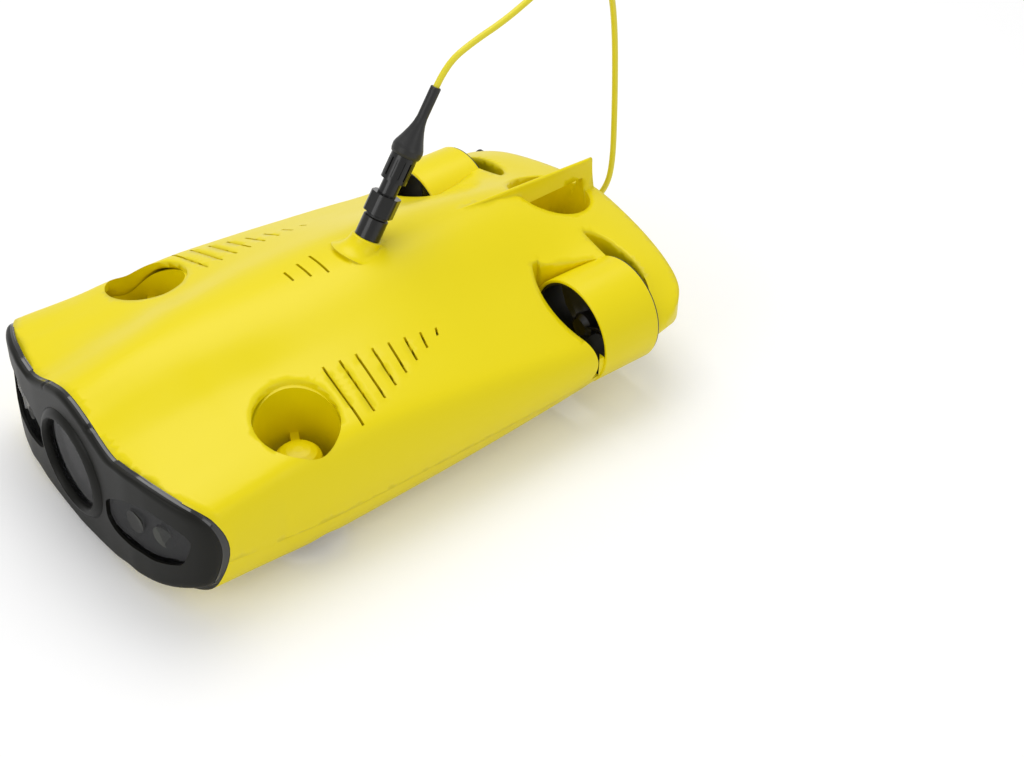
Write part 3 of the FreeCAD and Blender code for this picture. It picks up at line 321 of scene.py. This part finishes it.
def moulded(points):
    """Bring points of the CAD hull, in millimetres, to the moulding's own form."""
    x, y, z = points.T
    along = np.maximum(y, cad_edge(x))
    deck, rise = surface_at(DECK, x, along), surface_at(RISE, x, along)
    fade = np.clip((FADE_START - along) / FADE_LENGTH, 0, 1)
    belly = np.interp(np.abs(x), BELLY_BREADTHS, BELLY)
    belly_rise = np.interp(np.abs(x), BELLY_BREADTHS, BELLY_RISE) * fade
    margin = MARGIN * np.clip((MARGIN_END - np.abs(x)) / MARGIN_FADE, 0, 1)
    share = np.clip((z - belly) / np.maximum(deck - margin - belly, LEAST_HEIGHT), 0, 1)
    wide = WIDEN_SHARE * np.clip((WIDEN_START - along) / WIDEN_LENGTH, 0, 1)
    new_x = x * (1 + wide * (np.abs(x) / HALF_BREADTH) ** 4)
    reach = (SHIFT_START - y) / (SHIFT_START - cad_edge(x))
    inner = y + (nose_plan(new_x) - cad_edge(x)) * np.clip(reach, 0, 1) ** SHIFT_POWER
    return np.column_stack([new_x, inner, z + belly_rise + (rise - belly_rise) * share])


def mesh_object(name, verts, faces, look):
    """A new object from points in millimetres and faces, with a look."""
    data = bpy.data.meshes.new(name)
    data.from_pydata([tuple(v) for v in np.asarray(verts) * MM], [], faces)
    data.materials.append(LOOKS[look])
    obj = bpy.data.objects.new(name, data)
    scene.collection.objects.link(obj)
    return obj


def finish_piece(obj, node_names, angle=SHARP_ANGLE):
    """Smooth a piece, put it on the vehicle, and let it stand for its CAD nodes."""
    for polygon in obj.data.polygons:
        polygon.use_smooth = True
    obj.data.set_sharp_from_angle(angle=math.radians(angle))
    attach(obj, "vehicle")
    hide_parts(*node_names)


def moulded_shell(name, node_name, longest):
    """A copy of a CAD shell in the moulding's form, with no edge much over the longest, in millimetres.

    Its front wall, behind the face, is black. The points of that wall are given back."""
    source = bmesh.new()
    source.from_mesh(frame["nodes"][node_name].data)
    bmesh.ops.remove_doubles(source, verts=source.verts, dist=TINY)
    for _ in range(DIVIDING_ROUNDS):
        split = [e for e in source.edges if e.calc_length() > longest * MM]
        if not split:
            break
        bmesh.ops.subdivide_edges(source, edges=split, cuts=1)
        bmesh.ops.triangulate(source, faces=[f for f in source.faces if len(f.verts) > 3])
    data = bpy.data.meshes.new(name)
    source.to_mesh(data)
    source.free()
    points = np.empty(len(data.vertices) * 3)
    data.vertices.foreach_get("co", points)
    points = points.reshape(-1, 3) / MM
    moved = moulded(points)
    data.vertices.foreach_set("co", (moved * MM).ravel())
    data.materials.append(LOOKS["shell_yellow"])
    data.materials.append(LOOKS["camera_black"])
    front = np.abs(points[:, 1] - cad_edge(points[:, 0])) < FRONT_TOLERANCE
    for polygon in data.polygons:
        polygon.material_index = int(all(front[i] for i in polygon.vertices))
    obj = bpy.data.objects.new(name, data)
    scene.collection.objects.link(obj)
    finish_piece(obj, [node_name])
    return moved[front]


front_points = np.vstack([moulded_shell("deck_moulding", "upper_shell", 6.0),
                          moulded_shell("belly_moulding", "lower_shell", 8.0)])
# The face is drawn as spokes from its middle. A point is on its edge if none within NEAR_TURN is farther out,
# and it is farther out than OUTER_SHARE of the farthest within WIDE_TURN.
MIDDLE = np.array([0.0, 42.0])
NEAR_TURN, WIDE_TURN, OUTER_SHARE = math.radians(1.0), math.radians(5.0), 0.9


def spoke_turns(count):
    """Angles round the nose, evenly spaced."""
    return -math.pi + 2 * math.pi * (np.arange(count) + 0.5) / count


def nose_outline(count=360):
    """The outer edge of the mouldings' front as a radius round its middle, every degree."""
    flat = front_points[:, (0, 2)] - MIDDLE
    flat = np.vstack([flat, flat * (-1, 1)])
    angle, radius = np.arctan2(flat[:, 1], flat[:, 0]), np.hypot(*flat.T)
    outer = []
    for turn, far in zip(angle, radius):
        off = np.abs((angle - turn + math.pi) % (2 * math.pi) - math.pi)
        nearest, around = radius[off < NEAR_TURN].max(), radius[off < WIDE_TURN].max()
        outer.append(far >= nearest - TINY and far > OUTER_SHARE * around)
    outer = np.array(outer)
    order = np.argsort(angle[outer])
    edge = np.interp(spoke_turns(count), angle[outer][order], radius[outer][order], period=2 * math.pi)
    kernel = np.hanning(7)[1:-1]
    return np.convolve(np.concatenate([edge[-2:], edge, edge[:2]]), kernel / kernel.sum(), mode="valid")


OUTLINE = nose_outline()


def nose_slice(name, look, rings, node_names, back):
    """A cap on the nose, through rings of (share drawn in, distance ahead of the edge) from rim to middle."""
    count = len(OUTLINE)
    turns = spoke_turns(count)
    spokes = np.column_stack([np.cos(turns), np.sin(turns)])
    verts, faces = [], []
    for inset, ahead in rings:
        flat = MIDDLE + spokes * (OUTLINE * (1 - inset))[:, None]
        verts.append(np.column_stack([flat[:, 0], nose_plan(flat[:, 0]) - ahead, flat[:, 1]]))
    for r in range(len(rings) - 1):
        for i in range(count):
            j = (i + 1) % count
            faces.append((r * count + i, r * count + j, (r + 1) * count + j, (r + 1) * count + i))
    verts = np.vstack(verts)
    last = (len(rings) - 1) * count
    verts = np.vstack([verts, [[MIDDLE[0], nose_plan(0) - rings[-1][1], MIDDLE[1]],
                               [MIDDLE[0], nose_plan(0) - back, MIDDLE[1]]]])
    tip = len(verts) - 2
    faces += [(last + i, last + (i + 1) % count, tip) for i in range(count)]
    faces += [((i + 1) % count, i, tip + 1) for i in range(count)]
    obj = mesh_object(name, verts, faces, look)
    cut_openings(obj)
    finish_piece(obj, node_names, FACE_SHARP_ANGLE)


def through_points(points, steps=6):
    """A smooth closed line through points."""
    points = np.array(points, float)
    line = []
    for i in range(len(points)):
        p0, p1, p2, p3 = (points[(i + k) % len(points)] for k in (-1, 0, 1, 2))
        for j in range(steps):
            t = j / steps
            line.append(0.5 * (2 * p1 + (p2 - p0) * t + (2 * p0 - 5 * p1 + 4 * p2 - p3) * t ** 2
                               + (3 * p1 - p0 - 3 * p2 + p3) * t ** 3))
    return np.array(line)


def round_line(x, z, radius, steps):
    """A circle of (x, z) points."""
    return np.array([(x + radius * math.cos(a), z + radius * math.sin(a))
                     for a in np.linspace(0, 2 * math.pi, steps + 1)[:-1]])


LAMP_LINE = through_points(LAMP_OUTLINE[::-1])
FAR_LAMP_LINE = (LAMP_LINE * (-1, 1))[::-1]
CUT_FRONT, CUT_BACK = 230, 120


def prism(name, line, near, far, look):
    """A closed prism along Y on a line of (x, z), between two functions of x."""
    count = len(line)
    front = np.column_stack([line[:, 0], near(line[:, 0]), line[:, 1]])
    rear = np.column_stack([line[:, 0], far(line[:, 0]), line[:, 1]])
    faces = [tuple(range(count)), tuple(range(2 * count - 1, count - 1, -1))]
    faces += [(i, i + count, (i + 1) % count + count, (i + 1) % count) for i in range(count)]
    return mesh_object(name, np.vstack([front, rear]), faces, look)


def cut_openings(obj):
    """Cut the camera's round and both lamp openings through a nose cap."""
    ring = round_line(0, CAMERA_HEIGHT, CAMERA_RING, ROUND_STEPS)
    for line in (ring, LAMP_LINE, FAR_LAMP_LINE):
        cutter = prism("cutter", line, lambda x: x * 0 - CUT_FRONT, lambda x: x * 0 - CUT_BACK, "trim_black")
        change = obj.modifiers.new("opening", "BOOLEAN")
        change.operation, change.solver, change.object = "DIFFERENCE", "EXACT", cutter
        data = bpy.data.meshes.new_from_object(obj.evaluated_get(bpy.context.evaluated_depsgraph_get()))
        obj.modifiers.remove(change)
        obj.data = data
        bpy.data.objects.remove(cutter)


gasket_rings = [(0.003, GASKET_BACK), (0.003, 0.0), (0.009, 0.3), (0.009, GASKET_FRONT)]
nose_slice("nose_gasket", "trim_black", gasket_rings, ["face_gasket"], GASKET_BACK)
rim_rings = [(0.011, FACE_BACK), (0.011, 2.6), (0.014, 3.6), (0.022, 4.4), (0.035, 4.9)]
rim_rings.append((FACE_RIM, FACE_FRONT))
flat_rings = [(FACE_RIM + (1 - FACE_RIM) * k / FACE_RINGS, FACE_FRONT) for k in range(1, FACE_RINGS)]
nose_slice("nose_face", "face_black", rim_rings + flat_rings, ["front_face"], FACE_BACK)


def lathed(name, profile, look, node_names, count=ROUND_STEPS):
    """A ring about the camera's axis, from a closed profile of (radius, y)."""
    verts, faces = [], []
    for i in range(count):
        turn = 2 * math.pi * i / count
        verts += [(r * math.cos(turn), y, CAMERA_HEIGHT + r * math.sin(turn)) for r, y in profile]
    n = len(profile)
    for i in range(count):
        for j in range(n):
            a, b = i * n + j, i * n + (j + 1) % n
            c, d = (i + 1) % count * n + (j + 1) % n, (i + 1) % count * n + j
            faces.append((a, b, c, d))
    finish_piece(mesh_object(name, verts, faces, look), node_names)


lathed("bezel_ring", [(26.7, -178), (26.7, -188.4), (27.6, -190.6), (28.6, -191.5), (29.8, -191.3),
                      (31.6, -190.1), (33.1, -188.7), (CAMERA_RING, -188.0), (CAMERA_RING, -178)],
       "face_black", ["camera_bezel"])


def ahead_of_edge(distance):
    """A function of x: the place along Y this far ahead of the nose's edge."""
    return lambda x: nose_plan(x) - distance


# Each lamp's layers, as distances ahead of the nose's edge.
PANE_FRONT, PANE_BACK = 3.6, 2.8
LED_FRONT, TRAY_FRONT, TRAY_BACK = 2.2, 1.0, 0.3
LED_RADIUS, LED_STEPS = 7, 48
LED_PLACES = ((60, 45), (82, 47))
for side, sign, line in (("port", 1, LAMP_LINE), ("starboard", -1, FAR_LAMP_LINE)):
    pane = prism("lamp_pane_" + side, line, ahead_of_edge(PANE_FRONT), ahead_of_edge(PANE_BACK),
                 "window_clear")
    finish_piece(pane, ["lamp_window_" + side])
    tray = prism("lamp_tray_" + side, line, ahead_of_edge(TRAY_FRONT), ahead_of_edge(TRAY_BACK),
                 "camera_black")
    finish_piece(tray, ["lamp_board_" + side])
    for number, (x, z) in enumerate(LED_PLACES):
        disc = round_line(x, z, LED_RADIUS, LED_STEPS) * (sign, 1)
        led = prism(f"lamp_led_{side}_{number}", disc, ahead_of_edge(LED_FRONT), ahead_of_edge(TRAY_FRONT),
                    "lamp_board")
        finish_piece(led, [])


# Points of (radius, place along the axis): a tapered entry, a grip with two grooves, and a barrel.
CONNECTOR_PROFILE = [(0, 0), (2.6, 0), (3.2, 1.5), (4.6, 4), (5, 5),
                     (5, 7), (4.7, 7.4), (4.7, 8), (5, 8.4),
                     (5, 10), (4.7, 10.4), (4.7, 11), (5, 11.4),
                     (5, 14), (4.4, 14.6), (4.4, 19.4), (4, 20), (0, 20)]
CONNECTOR_STEPS = 48


def far_connector():
    """The plug on the cord's far end, turned about an axis along -X."""
    verts, faces = [], []
    for i in range(CONNECTOR_STEPS):
        turn = 2 * math.pi * i / CONNECTOR_STEPS
        verts += [(plug_face.x - along, plug_face.y + r * math.cos(turn), plug_face.z + r * math.sin(turn))
                  for r, along in CONNECTOR_PROFILE]
    n = len(CONNECTOR_PROFILE)
    for i in range(CONNECTOR_STEPS):
        here, there = i * n, (i + 1) % CONNECTOR_STEPS * n
        for j in range(n - 1):
            faces.append((here + j, here + j + 1, there + j + 1, there + j))
    obj = mesh_object("far_connector", verts, faces, "plug_black")
    data = bmesh.new()
    data.from_mesh(obj.data)
    bmesh.ops.remove_doubles(data, verts=data.verts, dist=TINY)
    bmesh.ops.recalc_face_normals(data, faces=data.faces)
    data.to_mesh(obj.data)
    data.free()
    finish_piece(obj, ["topside_connector"])
    return obj


connector = far_connector()
tether.data.materials.append(LOOKS["cord_yellow"])
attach(tether, "vehicle")
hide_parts("tether", "tether_end", "tether_coil")

# ---------------------------------------------------------------- studio


def lamp(name, place, aim, width, height, power):
    """A soft rectangular white light."""
    data = bpy.data.lights.new(name, "AREA")
    data.shape = "RECTANGLE"
    data.size, data.size_y = width, height
    data.energy = power
    obj = bpy.data.objects.new(name, data)
    scene.collection.objects.link(obj)
    obj.location = place
    obj.rotation_euler = (Vector(aim) - Vector(place)).to_track_quat("-Z", "Y").to_euler()


# The floor glows and the world is brighter for rays from the camera, so that both show white; the rest of the
# scene is lit by a dimmer world and three soft lights.
FLOOR_HALF = 4
CAMERA_GLOW = 0.13
WORLD_LIGHT, WORLD_SEEN = 0.6, 1.0
floor_mesh = bpy.data.meshes.new("floor")
corners = [(x * FLOOR_HALF, y * FLOOR_HALF, 0) for x, y in ((-1, -1), (1, -1), (1, 1), (-1, 1))]
floor_mesh.from_pydata(corners, [], [(0, 1, 2, 3)])
floor = bpy.data.objects.new("floor", floor_mesh)
scene.collection.objects.link(floor)
floor_white = material("floor_white", (0.9, 0.9, 0.9), 0.6)
floor_nodes, floor_links = floor_white.node_tree.nodes, floor_white.node_tree.links
floor_rays = floor_nodes.new("ShaderNodeLightPath")
glow = floor_nodes.new("ShaderNodeMath")
glow.operation = "MULTIPLY"
glow.inputs[1].default_value = CAMERA_GLOW
floor_links.new(floor_rays.outputs["Is Camera Ray"], glow.inputs[0])
floor_links.new(glow.outputs["Value"], floor_nodes["Principled BSDF"].inputs["Emission Strength"])
floor_nodes["Principled BSDF"].inputs["Emission Color"].default_value = (1, 1, 1, 1)
floor_mesh.materials.append(floor_white)

world = bpy.data.worlds.new("studio")
world.use_nodes = True
shade = world.node_tree.nodes["Background"]
rays = world.node_tree.nodes.new("ShaderNodeLightPath")
seen = world.node_tree.nodes.new("ShaderNodeMapRange")
seen.inputs["To Min"].default_value = WORLD_LIGHT
seen.inputs["To Max"].default_value = WORLD_SEEN
world.node_tree.links.new(rays.outputs["Is Camera Ray"], seen.inputs["Value"])
world.node_tree.links.new(seen.outputs["Result"], shade.inputs["Strength"])
shade.inputs["Color"].default_value = (1, 1, 1, 1)
scene.world = world

lamp("key", (-0.5, 0.3, 1.5), (0, 0, 0.05), 1.2, 1.2, 11)
lamp("front", (0.2, -1.5, 0.9), (0, -0.05, 0.05), 1.0, 0.7, 4.5)
lamp("side", (1.5, 0.2, 0.8), (0, 0, 0.05), 0.5, 1.2, 2.5)
